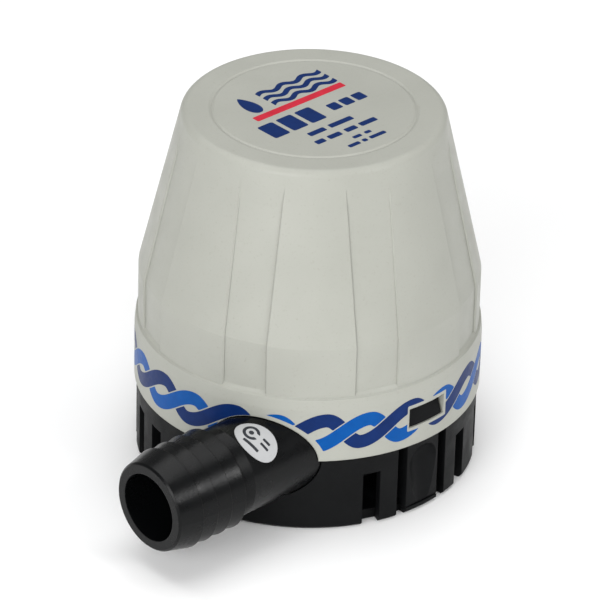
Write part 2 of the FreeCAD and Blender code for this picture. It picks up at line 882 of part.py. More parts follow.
def make_motor_screws():
    low, height = "chamber_top + head_clearance", "motor_head_depth - head_clearance"
    screw = make_screw(
        "motor_screw", "motor_screw_radius", "motor_screw_head", low, height, "motor_screw_length"
    )
    return copies("motor_screws", screw, [(f"{side} * motor_screw_circle", "0") for side in (-1, 1)])


def make_impeller():
    """A disc over swept-back vanes, turning clockwise from above, pressed on the shaft's lower end."""
    wheel = turned("impeller", [
        ("0", "impeller_bottom - nose_drop"),
        ("hub_radius - nose_taper", "impeller_bottom - nose_drop"),
        ("hub_radius", "impeller_bottom + nose_rise"),
        ("hub_radius", "impeller_top - disc_thickness"),
        ("impeller_radius", "impeller_top - disc_thickness"),
        ("impeller_radius", "impeller_top"),
        ("shaft_radius", "impeller_top"),
        ("shaft_radius", "shaft_bottom"),
        ("0", "shaft_bottom"),
    ])
    sketch = draw_vane(new_sketch(wheel, "XY_Plane", "impeller_bottom"))
    vane = pad(wheel, sketch, "impeller_top - impeller_bottom - disc_thickness / 2")
    polar(wheel, vane, VANES, grows=True)
    return wheel


def draw_vane(sketch):
    """A curved vane from the hub to the rim: two arcs about one centre, joined by lines towards it."""
    inner, outer = "(hub_radius - vane_root)", "(impeller_radius - vane_inset)"
    across, along = f"({inner} + {outer}) / 2", f"-sqrt(vane_bend ^ 2 - (({outer} - {inner}) / 2) ^ 2)"
    centre = FreeCAD.Vector(value(across), value(along), 0)
    for item, radius in enumerate(("(vane_bend + vane_thickness / 2)", "(vane_bend - vane_thickness / 2)")):
        share = f"{radius} / vane_bend"
        ends = [
            (f"{across} + {share} * ({reach} - {across})", f"{along} * (1 - {share})")
            for reach in (outer, inner)
        ]
        low, high = (X_AXIS.getAngle(FreeCAD.Vector(value(x), value(y), 0) - centre) for x, y in ends)
        sketch.addGeometry(Part.ArcOfCircle(Part.Circle(centre, Z_AXIS, value(radius)), low, high), False)
        for point, end in enumerate(ends, start=1):
            pin(sketch, item, point, end)
        index = sketch.addConstraint(Sketcher.Constraint("Radius", item, value(radius)))
        sketch.setExpression(f"Constraints[{index}]", formula(radius))
    for point in (1, 2):
        edge = Part.LineSegment(sketch.getPoint(0, point), sketch.getPoint(1, point))
        line = sketch.addGeometry(edge, False)
        for arc in (0, 1):
            sketch.addConstraint(Sketcher.Constraint("Coincident", arc, point, line, arc + 1))
    return sketch


def make_seals():
    """Lip seal and its washer in the wet side's pocket, the cover's O-ring and the motor's gasket."""
    top = "chamber_top + seal_pocket_depth"
    seal = turned("shaft_seal", [
        ("seal_radius", "chamber_top + washer_high"),
        ("seal_radius", top),
        ("shaft_radius + seal_throat", top),
        ("shaft_radius + seal_throat", "chamber_top + lip_back"),
        ("shaft_radius + running_clearance", "chamber_top + lip_high"),
        ("shaft_radius + running_clearance", "chamber_top + lip_low"),
        ("shaft_radius + lip_root", "chamber_top + washer_high"),
    ])
    low, high = "chamber_top + washer_low", "chamber_top + washer_high"
    washer = tube("seal_washer", "seal_radius", "shaft_radius + washer_gap", low, high)
    ring = doc.addObject("Part::Torus", "cover_ring")
    ring.Label = "cover_ring"
    bind(ring, {
        "Radius1": "(ring_seat_radius + seal_land_radius) / 2",
        "Radius2": "(seal_land_radius - ring_seat_radius) / 2 - ring_gap",
        "Placement.Base.z": "ring_seat_height",
    })
    rim = "can_radius + gasket_margin"
    disc = tube("gasket_disc", rim, "boss_recess_radius", "flange_bottom", "can_bottom")
    holes = at_motor_screws("motor_screw_radius + screw_clearance", "can_bottom", "flange_bottom - overcut")
    return [seal, washer, ring, cut("motor_gasket", disc, holes)]


# ---- motor ---------------------------------------------------------------------------------------


def make_can():
    can = turned("can_shell", [
        ("shaft_radius + shaft_gap", "can_bottom - can_boss_height"),
        ("can_boss_radius", "can_bottom - can_boss_height"),
        ("can_boss_radius", "can_bottom"),
        ("can_radius", "can_bottom"),
        ("can_radius", "can_top"),
        ("can_radius - can_wall", "can_top"),
        ("can_radius - can_wall", "can_bottom + can_floor"),
        ("can_boss_radius", "can_bottom + can_floor"),
        ("can_boss_radius", "low_bush_top"),
        ("bush_radius", "low_bush_top"),
        ("bush_radius", "low_bush_bottom"),
        ("shaft_radius + shaft_gap", "low_bush_bottom"),
    ])
    holes = at_motor_screws("motor_screw_radius", "can_floor + 2 * overcut", "can_bottom - overcut")
    return cut("motor_can", can, holes)


def make_bushes():
    bore = "shaft_radius + bearing_clearance"
    return [
        tube("lower_bush", "bush_radius", bore, "low_bush_bottom", "low_bush_top"),
        tube("upper_bush", "bush_radius", bore, "top_bush_bottom", "top_bush_top"),
    ]


def make_magnets():
    """Two arc magnets at the front and back of the can, and the spring clips between their ends."""
    made = []
    seat = "can_radius - can_wall - magnet_gap"
    for name, side in (("magnet_front", 0), ("magnet_rear", 180)):
        ring = tube(name + "_ring", seat, "magnet_bore", "magnet_low", "magnet_high")
        made.append(common(name, ring, sector(name, "magnet_half_angle", side)))
    low, high = "magnet_low + clip_inset", "magnet_high - clip_inset"
    ring = tube("clip_ring", seat, f"{seat} - clip_thickness", low, high)
    sectors = join("clip_sectors", [sector(f"clip_{side}", "clip_half_angle", side) for side in (90, 270)])
    made.append(common("magnet_clips", ring, sectors))
    return made


def sector(name, half_angle, bearing):
    """A wedge of space that spans an angle either side of a bearing."""
    wedge = doc.addObject("Part::Cylinder", name + "_sector")
    wedge.Placement.Rotation = FreeCAD.Rotation(Z_AXIS, bearing - 90 - value(half_angle))
    return bind(wedge, {"Radius": "can_radius + overcut", "Height": "can_top", "Angle": f"2 * {half_angle}"})


def make_core():
    """Laminated armature: a hub, teeth with wide tips, and slots between the tips."""
    core = tube("armature_core", "core_hub_radius", "shaft_radius", "core_bottom", "core_top")
    sketch = new_sketch(core, "XY_Plane", "core_bottom")
    left, right = "core_hub_radius - overcut", "core_radius - overcut"
    draw_box(sketch, left, "-tooth_width / 2", right, "tooth_width / 2")
    tooth = pad(core, sketch, "core_top - core_bottom")
    polar(core, tooth, POLES, grows=True)
    revolve(core, [
        ("core_radius - tip_thickness", "core_bottom"),
        ("core_radius", "core_bottom"),
        ("core_radius", "core_top"),
        ("core_radius - tip_thickness", "core_top"),
    ])
    sketch = new_sketch(core, "XY_Plane", "core_bottom")
    left, right = "-core_radius - overcut", "-core_radius + tip_thickness + overcut"
    draw_box(sketch, left, "-slot_opening / 2", right, "slot_opening / 2")
    opening = pocket(core, sketch, "core_top - core_bottom", forward=True)
    polar(core, opening, POLES, grows=False)
    return core


def make_windings():
    """One coil round each tooth, a node of separate solids."""
    half = "tooth_width / 2 + coil_width"
    size = ("coil_outer - coil_inner", f"2 * ({half})", "core_top - core_bottom + 2 * end_turn")
    block = box(size, ("coil_inner", f"-({half})", "core_bottom - end_turn"))
    rounded = doc.addObject("Part::Fillet", "coil_block")
    rounded.Base = block
    doc.recompute()
    size = value("coil_width")
    rounded.Edges = [
        (i, size, size)
        for i, edge in enumerate(block.Shape.Edges, start=1)
        if edge.BoundBox.XLength > edge.Length / 2
    ]
    window = box(
        ("coil_outer", "tooth_width + 2 * coil_gap", "core_top - core_bottom + 2 * coil_gap"),
        ("coil_inner - overcut", "-tooth_width / 2 - coil_gap", "core_bottom - coil_gap"),
    )
    coil = cut("coil", rounded, [window])
    turns = []
    for pole in range(POLES):
        place = doc.addObject("Part::Compound", "coil_place")
        place.Links = [coil]
        place.Placement.Rotation = FreeCAD.Rotation(Z_AXIS, 360 / POLES * pole)
        turns.append(place)
    return group("armature_windings", turns)


def make_commutator():
    copper = turned("commutator", [
        ("shaft_radius", "commutator_low - riser_height"),
        ("commutator_radius + riser_reach", "commutator_low - riser_height"),
        ("commutator_radius + riser_reach", "commutator_low"),
        ("commutator_radius", "commutator_low"),
        ("commutator_radius", "commutator_high"),
        ("shaft_radius", "commutator_high"),
    ])
    sketch = new_sketch(copper, "XY_Plane", "commutator_low - riser_height")
    left, right = "commutator_radius - slit_depth", "commutator_radius + riser_reach + overcut"
    draw_box(sketch, left, "-slit_width / 2", right, "slit_width / 2")
    slit = pocket(copper, sketch, "commutator_high", forward=True)
    polar(copper, slit, POLES, grows=False)
    return copper


def make_shaft_parts():
    """Shaft, and the spacer and thrust washers that hold the armature between its bushes."""
    shaft = turned("shaft", [
        ("0", "shaft_bottom"),
        ("shaft_radius - shaft_chamfer", "shaft_bottom"),
        ("shaft_radius", "shaft_bottom + shaft_chamfer"),
        ("shaft_radius", "shaft_top - shaft_chamfer"),
        ("shaft_radius - shaft_chamfer", "shaft_top"),
        ("0", "shaft_top"),
    ])
    low = "low_bush_top + end_play"
    step = f"{low} + low_washer_height"
    high = "commutator_high"
    top = f"{high} + top_washer_height"
    return [
        shaft,
        tube("thrust_washer_low", "shaft_radius + low_washer_wall", "shaft_radius", low, step),
        tube("armature_spacer", "shaft_radius + spacer_wall", "shaft_radius", step, "core_bottom"),
        tube("thrust_washer_top", "shaft_radius + top_washer_wall", "shaft_radius", high, top),
    ]


def make_end_bell():
    """Plastic lid of the can: spigot, bearing boss, pads over the brush holders, terminal slots."""
    spigot = "can_radius - can_wall - spigot_gap"
    bell = turned("bell_disc", [
        ("bush_radius", "can_top"),
        (f"{spigot} - spigot_wall", "can_top"),
        (f"{spigot} - spigot_wall", "can_top - spigot_depth"),
        (spigot, "can_top - spigot_depth"),
        (spigot, "can_top"),
        ("can_radius", "can_top"),
        ("can_radius", "can_top + bell_thickness"),
        ("bush_radius + bush_housing", "can_top + bell_thickness"),
        ("bush_radius + bush_housing", "top_bush_top + bush_cap"),
        ("0", "top_bush_top + bush_cap"),
        ("0", "top_bush_top"),
        ("bush_radius", "top_bush_top"),
    ])
    top = "brush_height + brush_depth / 2 + holder_wall"
    pad_size = ("bell_pad_length", "brush_width", f"can_top - ({top}) + overcut")
    pads = [
        box(pad_size, (corner, "-brush_width / 2", top))
        for corner in ("holder_start", "-holder_start - bell_pad_length")
    ]
    thick, wide = ("2 * blade_gap + " + size for size in ("blade_thickness", "blade_width"))
    slot_size = (thick, wide, "bell_thickness + 2 * overcut")
    slots = [
        box(slot_size, (f"{corner} - blade_gap", "-blade_width / 2 - blade_gap", "can_top - overcut"))
        for corner in BLADE_CORNERS
    ]
    return cut("end_bell", join("bell_block", [bell, *pads]), slots)


def make_brush_gear(side, turn):
    """Holder, brush and coil spring on one side of the commutator; turn is the rotation about Z."""
    rotation = FreeCAD.Placement(FreeCAD.Vector(), FreeCAD.Rotation(Z_AXIS, turn))
    wide, deep = "brush_width + 2 * brush_play", "brush_depth + 2 * brush_play"

    def channel(x, length, grow):
        size = (length, f"{wide} + 2 * {grow}", f"{deep} + 2 * {grow}")
        return box(size, (x, f"-({wide}) / 2 - {grow}", f"brush_height - ({deep}) / 2 - {grow}"))

    outer = channel("holder_start", "holder_end - holder_start", "(holder_wall - brush_play)")
    inner = channel("holder_start - overcut", "holder_end - holder_start + overcut - holder_wall", "0")
    holder = cut("brush_holder_" + side, outer, [inner])

    block = box(
        ("brush_length + overcut", "brush_width", "brush_depth"),
        ("commutator_radius - overcut", "-brush_width / 2", "brush_height - brush_depth / 2"),
    )
    face = cylinder("commutator_radius + running_clearance", "can_top")
    brush = cut("brush_" + side, block, [face])

    spring = doc.addObject("Part::Feature", "brush_spring_" + side)
    spring.Label = spring.Name
    spring.Shape = make_spring()
    for piece in (holder, brush, spring):
        piece.Placement = rotation * piece.Placement
    return [holder, brush, spring]


def make_spring():
    """A closed coil along +X, between the brush and the end of its holder."""
    start = value("commutator_radius + brush_length + spring_gap")
    length = value("holder_end - holder_wall - spring_gap") - start
    wire, coil = value("spring_wire"), value("spring_radius")
    helix = Part.makeHelix((length - 2 * wire) / SPRING_TURNS, length - 2 * wire, coil)
    section = Part.Wire(Part.makeCircle(wire, FreeCAD.Vector(coil, 0, 0), Y_AXIS))
    coil_shape = Part.Wire(helix).makePipeShell([section], True, True)
    coil_shape.rotate(FreeCAD.Vector(), Y_AXIS, 90)
    coil_shape.translate(FreeCAD.Vector(start + wire, 0, value("brush_height")))
    return coil_shape


def make_terminals():
    """Two brass blades that stand on the brush holders and pass up through the end bell."""
    low = "brush_height + brush_depth / 2 + holder_wall"
    blades = []
    size = ("blade_thickness", "blade_width", f"blade_top - ({low})")
    for corner in BLADE_CORNERS:
        blade = box(size, (corner, "-blade_width / 2", low))
        place = (f"{corner} - overcut", "0", "blade_top - blade_hole_drop")
        hole = cylinder("blade_hole", "blade_thickness + 2 * overcut", place, FreeCAD.Rotation(Y_AXIS, 90))
        blades.append(cut("blade", blade, [hole]))
    return group("motor_terminals", blades)


# ---- lead gland and label ------------------------------------------------------------------------


def across_cover(radius, start, end, shift="0"):
    """A cylinder that points outwards at the gland's bearing, from one distance to a larger one."""
    turn = FreeCAD.Rotation(Z_AXIS, GLAND_BEARING)
    solid = doc.addObject("Part::Cylinder", "Cylinder")
    bind(solid, {"Radius": radius, "Height": f"({end}) - ({start})"})
    place = turn.multVec(FreeCAD.Vector(value(shift), -value(start), value("gland_height")))
    solid.Placement = FreeCAD.Placement(place, turn * FreeCAD.Rotation(X_AXIS, 90))
    return solid


def make_gland():
    """Rubber grommet of the lead: flanges each side of the cover's wall and two wire holes."""
    inside = cylinder("seal_land_radius", "kink_height")
    outside = cylinder("panel_radius", "cover_top")
    inner_disc = across_cover("gland_flange", "seal_land_radius - flange_inside", "panel_radius")
    outer_disc = across_cover("gland_flange", "seal_land_radius", "panel_radius + flange_outside")
    rings = [
        across_cover("gland_radius", "seal_land_radius - gland_inside", "panel_radius + gland_outside"),
        common("inner_flange", inner_disc, inside),
        cut("outer_flange", outer_disc, [outside]),
    ]
    start, end = "seal_land_radius - gland_inside - overcut", "panel_radius + gland_outside + overcut"
    wires = [across_cover("wire_radius", start, end, f"{side} * wire_spacing / 2") for side in (-1, 1)]
    return cut("cable_grommet", join("grommet_block", rings), wires)


def make_label():
    """Thin oval sticker wrapped on the root of the hose tail."""
    start, end = "label_place - label_length", "label_place + label_length"
    core = along_tail("root", "root_radius + label_gap", f"{start} - overcut", f"{end} + overcut")
    outer = along_tail("root", "root_radius + label_gap + label_thickness", start, end)
    sleeve = cut("label_sleeve", outer, [core])
    turn = FreeCAD.Rotation(X_AXIS, value("label_roll")) * FreeCAD.Rotation(Z_AXIS, value("label_tilt"))
    outline = doc.addObject("Part::Ellipse", "label_outline")
    bind(outline, {"MajorRadius": "label_length / 2", "MinorRadius": "label_width / 2"})
    stamp = doc.addObject("Part::Extrusion", "label_stamp")
    stamp.Base = outline
    stamp.Solid = True
    bind(stamp, {"LengthFwd": "2 * root_radius"})
    bind(outline, {
        "Placement.Base.x": "-label_place",
        "Placement.Base.y": "-root_offset",
        "Placement.Base.z": "root_height",
    })
    outline.Placement.Rotation = turn
    stamp.Dir = turn.multVec(Z_AXIS)
    return common("oval_label", sleeve, stamp)


def make_all():
    parts = [make_motor_cover(), make_strainer()]
    parts += [make_latch(name, bearing) for name, bearing in LATCHES.items()]
    parts += [make_volute_body(), make_volute_cover(), make_volute_screws(), make_impeller()]
    parts += make_seals()
    parts += [make_can(), make_end_bell(), make_motor_screws(), make_terminals()]
    parts += make_bushes() + make_magnets()
    parts += make_shaft_parts() + [make_core(), make_windings(), make_commutator()]
    parts += make_brush_gear("left", 180) + make_brush_gear("right", 0)
    parts += [make_gland(), make_label()]
    return parts


def check_and_write(parts):
    doc.recompute()
    for thing in doc.Objects:
        if "Invalid" in thing.State or "Error" in thing.State:
            raise RuntimeError(f"{thing.Label}: {thing.State}")
    os.makedirs("parts", exist_ok=True)
    for part in parts:
        shape = part.Shape
        if shape.isNull() or not shape.isValid() or not shape.Solids:
            raise RuntimeError(f"{part.Label}: the shape is not a valid solid")
        shape.exportStep(f"parts/{part.Label}.step")
        print(f"{part.Label:20s} solids {len(shape.Solids)} volume {shape.Volume:9.1f}")


check_and_write(make_all())
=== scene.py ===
import json
import math

import bmesh
import bpy
import numpy as np
from mathutils import Matrix, Vector
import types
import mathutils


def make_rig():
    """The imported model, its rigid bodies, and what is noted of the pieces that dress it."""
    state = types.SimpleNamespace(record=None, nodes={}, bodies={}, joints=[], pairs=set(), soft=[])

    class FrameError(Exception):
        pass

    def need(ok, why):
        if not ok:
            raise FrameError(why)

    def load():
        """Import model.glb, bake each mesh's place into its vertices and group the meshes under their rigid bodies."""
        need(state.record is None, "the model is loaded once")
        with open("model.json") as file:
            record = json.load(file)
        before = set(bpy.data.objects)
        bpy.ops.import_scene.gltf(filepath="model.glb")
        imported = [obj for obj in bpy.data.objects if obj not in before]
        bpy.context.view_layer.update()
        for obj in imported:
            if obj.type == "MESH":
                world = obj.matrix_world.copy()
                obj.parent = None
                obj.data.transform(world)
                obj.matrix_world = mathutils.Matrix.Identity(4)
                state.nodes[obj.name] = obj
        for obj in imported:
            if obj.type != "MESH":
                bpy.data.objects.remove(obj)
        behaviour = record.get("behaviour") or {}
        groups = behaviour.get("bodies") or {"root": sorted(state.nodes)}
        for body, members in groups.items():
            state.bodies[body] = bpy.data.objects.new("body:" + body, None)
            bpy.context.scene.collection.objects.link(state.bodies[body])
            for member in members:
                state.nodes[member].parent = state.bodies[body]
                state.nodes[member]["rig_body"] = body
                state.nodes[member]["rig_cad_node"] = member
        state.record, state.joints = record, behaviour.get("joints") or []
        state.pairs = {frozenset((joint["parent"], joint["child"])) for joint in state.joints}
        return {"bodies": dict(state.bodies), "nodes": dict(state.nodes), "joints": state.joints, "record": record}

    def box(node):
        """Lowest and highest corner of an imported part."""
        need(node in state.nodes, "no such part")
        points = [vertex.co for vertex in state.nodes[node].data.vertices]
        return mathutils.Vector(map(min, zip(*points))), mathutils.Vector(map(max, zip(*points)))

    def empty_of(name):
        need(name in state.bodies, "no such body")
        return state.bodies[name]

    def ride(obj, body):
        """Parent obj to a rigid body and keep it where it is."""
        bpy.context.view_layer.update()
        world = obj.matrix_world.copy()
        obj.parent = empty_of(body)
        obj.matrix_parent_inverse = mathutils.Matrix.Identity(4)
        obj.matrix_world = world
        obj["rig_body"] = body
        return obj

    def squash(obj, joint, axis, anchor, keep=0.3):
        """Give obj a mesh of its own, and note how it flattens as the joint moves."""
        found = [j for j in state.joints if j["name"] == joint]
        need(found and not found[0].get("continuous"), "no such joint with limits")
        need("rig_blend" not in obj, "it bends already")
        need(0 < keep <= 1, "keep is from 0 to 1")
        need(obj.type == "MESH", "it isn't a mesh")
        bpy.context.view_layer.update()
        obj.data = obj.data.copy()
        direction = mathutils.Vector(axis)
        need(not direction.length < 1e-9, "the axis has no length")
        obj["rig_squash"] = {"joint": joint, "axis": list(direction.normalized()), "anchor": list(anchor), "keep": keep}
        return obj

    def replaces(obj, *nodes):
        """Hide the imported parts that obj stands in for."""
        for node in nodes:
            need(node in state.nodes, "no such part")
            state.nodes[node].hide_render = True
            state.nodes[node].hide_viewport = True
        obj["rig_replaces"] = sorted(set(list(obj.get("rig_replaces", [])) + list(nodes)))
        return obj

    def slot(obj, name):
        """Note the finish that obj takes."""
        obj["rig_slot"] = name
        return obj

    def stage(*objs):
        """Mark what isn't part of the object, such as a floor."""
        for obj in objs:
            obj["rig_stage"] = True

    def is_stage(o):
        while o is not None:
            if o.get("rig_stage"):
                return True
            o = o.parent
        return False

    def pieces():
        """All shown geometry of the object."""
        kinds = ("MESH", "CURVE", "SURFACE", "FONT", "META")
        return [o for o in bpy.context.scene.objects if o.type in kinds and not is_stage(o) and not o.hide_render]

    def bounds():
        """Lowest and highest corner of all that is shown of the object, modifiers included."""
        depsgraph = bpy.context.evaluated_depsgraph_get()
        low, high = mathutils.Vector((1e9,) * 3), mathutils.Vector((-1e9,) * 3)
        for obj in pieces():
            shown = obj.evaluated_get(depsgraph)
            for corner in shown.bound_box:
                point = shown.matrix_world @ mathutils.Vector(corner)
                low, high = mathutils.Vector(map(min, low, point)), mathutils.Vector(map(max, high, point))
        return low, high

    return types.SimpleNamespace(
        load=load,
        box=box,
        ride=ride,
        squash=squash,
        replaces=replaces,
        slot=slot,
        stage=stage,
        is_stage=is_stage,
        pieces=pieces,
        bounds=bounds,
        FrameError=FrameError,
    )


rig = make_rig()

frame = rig.load()
cad_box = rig.bounds()

# Looks of a submersible bilge pump, in metres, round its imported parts. The origin is the centre of the
# underside, +Z is up, the hose tail points along -X, and the latch with the cover's window is on -Y.
# A bearing is an angle about +Z, in degrees, from -Y towards +X.

MM = 0.001

cover_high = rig.box("motor_cover")[1]
SKIRT_RADIUS = cover_high.x
COVER_TOP = cover_high.z

# The hose tail's root is a tube along X. The arch is the cover's edge round it.
ROOT_RADIUS = 9.5 * MM
ROOT_Y = -18.3 * MM
ROOT_Z = 16.5 * MM
ARCH_RADIUS = ROOT_RADIUS + 0.2 * MM


# ---- node materials ------------------------------------------------------------------------------


def srgb(red, green, blue):
    """A linear colour from 0-255 display values."""
    def linear(level):
        share = level / 255
        return share / 12.92 if share <= 0.04045 else ((share + 0.055) / 1.055) ** 2.4

    return (linear(red), linear(green), linear(blue), 1.0)


class Shader:
    """A principled material and short ways to add texture nodes to it."""

    def __init__(self, name, metallic=0.0, specular=0.5):
        self.material = bpy.data.materials.new(name)
        self.material.use_nodes = True
        self.tree = self.material.node_tree
        self.surface = self.tree.nodes["Principled BSDF"]
        self.surface.inputs["Metallic"].default_value = metallic
        self.surface.inputs["Specular IOR Level"].default_value = specular
        self.place = self.tree.nodes.new("ShaderNodeTexCoord").outputs["Object"]
        self.normal = None

    def node(self, kind, **settings):
        made = self.tree.nodes.new("ShaderNode" + kind)
        for name, setting in settings.items():
            setattr(made, name, setting)
        return made

    def link(self, source, target):
        self.tree.links.new(source, target)

    def stretched(self, scale):
        """Object coordinates, scaled per axis."""
        mapping = self.node("Mapping")
        mapping.inputs["Scale"].default_value = scale
        self.link(self.place, mapping.inputs["Vector"])
        return mapping.outputs["Vector"]

    def noise(self, scale, detail=3.0, stretch=(1, 1, 1), rough=0.55):
        texture = self.node("TexNoise")
        texture.inputs["Scale"].default_value = scale
        texture.inputs["Detail"].default_value = detail
        texture.inputs["Roughness"].default_value = rough
        self.link(self.stretched(stretch), texture.inputs["Vector"])
        return texture.outputs["Fac"]

    def bands(self, scale, axis="Z", distortion=0.0):
        texture = self.node("TexWave", bands_direction=axis)
        texture.inputs["Scale"].default_value = scale
        texture.inputs["Distortion"].default_value = distortion
        self.link(self.place, texture.inputs["Vector"])
        return texture.outputs["Fac"]

    def span(self, factor, low, high, near=0.3, far=0.7):
        """Remap a texture's middle range to a pair of values."""
        remap = self.node("MapRange")
        for name, setting in zip(("From Min", "From Max", "To Min", "To Max"), (near, far, low, high)):
            remap.inputs[name].default_value = setting
        self.link(factor, remap.inputs["Value"])
        return remap.outputs["Result"]

    def mix(self, factor, first, second):
        """Mix two colours; each is a tuple or the output of another node."""
        blend = self.node("Mix", data_type="RGBA")
        self.link(factor, blend.inputs[0])
        for socket, colour in ((blend.inputs[6], first), (blend.inputs[7], second)):
            if isinstance(colour, tuple):
                socket.default_value = colour
            else:
                self.link(colour, socket)
        return blend.outputs[2]

    def colour(self, output):
        self.link(output, self.surface.inputs["Base Color"])

    def roughness(self, output):
        self.link(output, self.surface.inputs["Roughness"])

    def round_edges(self, radius):
        """Soften the shading of sharp moulded edges."""
        bevel = self.node("Bevel", samples=4)
        bevel.inputs["Radius"].default_value = radius
        self.normal = bevel.outputs["Normal"]

    def bump(self, factor, depth):
        relief = self.node("Bump")
        relief.inputs["Distance"].default_value = depth
        self.link(factor, relief.inputs["Height"])
        if self.normal is not None:
            self.link(self.normal, relief.inputs["Normal"])
        self.normal = relief.outputs["Normal"]

    def finish(self):
        if self.normal is not None:
            self.link(self.normal, self.surface.inputs["Normal"])
        return self.material


def moulded(name, dark, light, smooth, rough, grain_scale, grain_depth, edge=0.0, specular=0.5, streak=0.0):
    """Moulded plastic or rubber: cloudy colour, spark-eroded grain and uneven gloss."""
    shader = Shader(name, specular=specular)
    cloud = shader.span(shader.noise(90, detail=4), 0, 1)
    tone = shader.mix(cloud, dark, light)
    speck = shader.span(shader.noise(2600, detail=2), 0, 1, near=0.62, far=0.8)
    shader.colour(shader.mix(speck, tone, light))
    shader.roughness(shader.span(shader.noise(260, detail=5), smooth, rough))
    if edge:
        shader.round_edges(edge)
    if streak:
        shader.bump(shader.noise(120, stretch=(0.15, 1, 1)), streak)
    shader.bump(shader.noise(grain_scale, detail=4, rough=0.6), grain_depth)
    return shader.finish()


def metal(name, dark, light, smooth, rough, stretch, depth, scale=900):
    """Drawn, turned or plated metal with fine lines and uneven gloss."""
    shader = Shader(name, metallic=1.0)
    lines = shader.noise(scale, detail=5, stretch=stretch)
    shader.colour(shader.mix(shader.span(lines, 0, 1), dark, light))
    shader.roughness(shader.span(shader.noise(300, detail=4), smooth, rough))
    shader.bump(lines, depth)
    return shader.finish()


def cover_plastic():
    """Warm off-white ABS: a faint haze, fine grain and soft mould marks."""
    shader = Shader("cover_plastic", specular=0.3)
    haze = shader.mix(shader.span(shader.noise(55, detail=4), 0, 1), srgb(160, 161, 153), srgb(166, 167, 159))
    speck = shader.span(shader.noise(1900, detail=2), 0, 1, near=0.6, far=0.85)
    shader.colour(shader.mix(speck, haze, srgb(154, 154, 144)))
    shader.roughness(shader.span(shader.noise(210, detail=5), 0.36, 0.52))
    shader.round_edges(0.3 * MM)
    shader.bump(shader.noise(60, detail=2), 0.03 * MM)
    shader.bump(shader.noise(2400, detail=3), 0.012 * MM)
    return shader.finish()


def laminated():
    """Electrical steel sheets: thin bands across the stack."""
    shader = Shader("lamination", metallic=1.0)
    sheets = shader.bands(320)
    shader.colour(shader.mix(sheets, srgb(92, 94, 98), srgb(150, 152, 156)))
    shader.roughness(shader.span(shader.noise(300), 0.3, 0.5))
    shader.bump(sheets, 0.05 * MM)
    return shader.finish()


def wound():
    """Enamelled copper wire laid in rows."""
    shader = Shader("copper", metallic=1.0)
    rows = shader.bands(520, axis="DIAGONAL", distortion=0.4)
    shader.colour(shader.mix(rows, srgb(120, 52, 22), srgb(204, 116, 62)))
    shader.roughness(shader.span(shader.noise(400), 0.22, 0.4))
    shader.bump(rows, 0.12 * MM)
    return shader.finish()


def ink(name, shade, deeper):
    """A thin printed film with a slightly uneven lay."""
    shader = Shader(name, specular=0.1)
    cover = shader.span(shader.noise(420, detail=4), 0, 1)
    shader.colour(shader.mix(cover, deeper, shade))
    shader.roughness(shader.span(shader.noise(900), 0.3, 0.42))
    shader.bump(shader.noise(2600, detail=3), 0.006 * MM)
    return shader.finish()


FINISHES = {
    "cover_plastic": cover_plastic(),
    "body_plastic": moulded(
        "body_plastic", srgb(10, 11, 12), srgb(16, 17, 18), 0.4, 0.56, 2200, 0.03 * MM,
        edge=0.25 * MM, specular=0.1,
    ),
    "tail_plastic": moulded(
        "tail_plastic", srgb(5, 6, 7), srgb(9, 10, 11), 0.24, 0.34, 1500, 0.02 * MM,
        edge=0.2 * MM, specular=0.17, streak=0.06 * MM,
    ),
    "impeller_plastic": moulded(
        "impeller_plastic", srgb(196, 196, 190), srgb(214, 214, 208), 0.4, 0.5, 1800, 0.01 * MM, edge=0.2 * MM
    ),
    "bell_plastic": moulded(
        "bell_plastic", srgb(178, 170, 148), srgb(196, 188, 166), 0.42, 0.56, 1800, 0.02 * MM, edge=0.2 * MM
    ),
    "rubber": moulded(
        "rubber", srgb(22, 22, 23), srgb(30, 30, 31), 0.6, 0.78, 1300, 0.03 * MM, edge=0.3 * MM, specular=0.25
    ),
    "carbon": moulded("carbon", srgb(30, 30, 32), srgb(58, 58, 61), 0.34, 0.6, 3600, 0.03 * MM),
    "magnet": moulded("magnet", srgb(44, 44, 46), srgb(62, 62, 64), 0.5, 0.7, 2800, 0.05 * MM, edge=0.2 * MM),
    "steel": metal("steel", srgb(150, 152, 154), srgb(198, 200, 202), 0.24, 0.4, (1, 1, 6), 0.004 * MM),
    "ground_steel": metal(
        "ground_steel", srgb(176, 178, 181), srgb(214, 216, 218), 0.12, 0.24, (1, 1, 16), 0.002 * MM
    ),
    "bronze": metal(
        "bronze", srgb(126, 84, 46), srgb(168, 120, 72), 0.4, 0.62, (1, 1, 1), 0.02 * MM, scale=2600
    ),
    "brass": metal("brass", srgb(176, 136, 66), srgb(212, 174, 98), 0.22, 0.36, (1, 1, 8), 0.004 * MM),
    "lamination": laminated(),
    "copper": wound(),
    "label": moulded(
        "label", srgb(172, 173, 174), srgb(182, 183, 184), 0.26, 0.38, 1200, 0.006 * MM, specular=0.3
    ),
    "light_ink": ink("light_ink", srgb(0, 80, 155), srgb(0, 73, 145)),
    "dark_ink": ink("dark_ink", srgb(12, 42, 98), srgb(10, 37, 88)),
    "red_ink": ink("red_ink", srgb(196, 44, 62), srgb(182, 36, 54)),
    "grey_ink": ink("grey_ink", srgb(58, 60, 64), srgb(48, 50, 54)),
}

OWN_FINISH = {"volute_body": "tail_plastic"}

for name, part in frame["nodes"].items():
    slot = part.data.materials[0].name.split(".")[0] if part.data.materials else ""
    chosen = FINISHES.get(OWN_FINISH.get(name, slot))
    if chosen is None:
        raise RuntimeError(f"{name}: no finish for the slot {slot!r}")
    for index in range(len(part.material_slots)):
        part.material_slots[index].material = chosen


# ---- springs behind the brushes -------------------------------------------------------------------


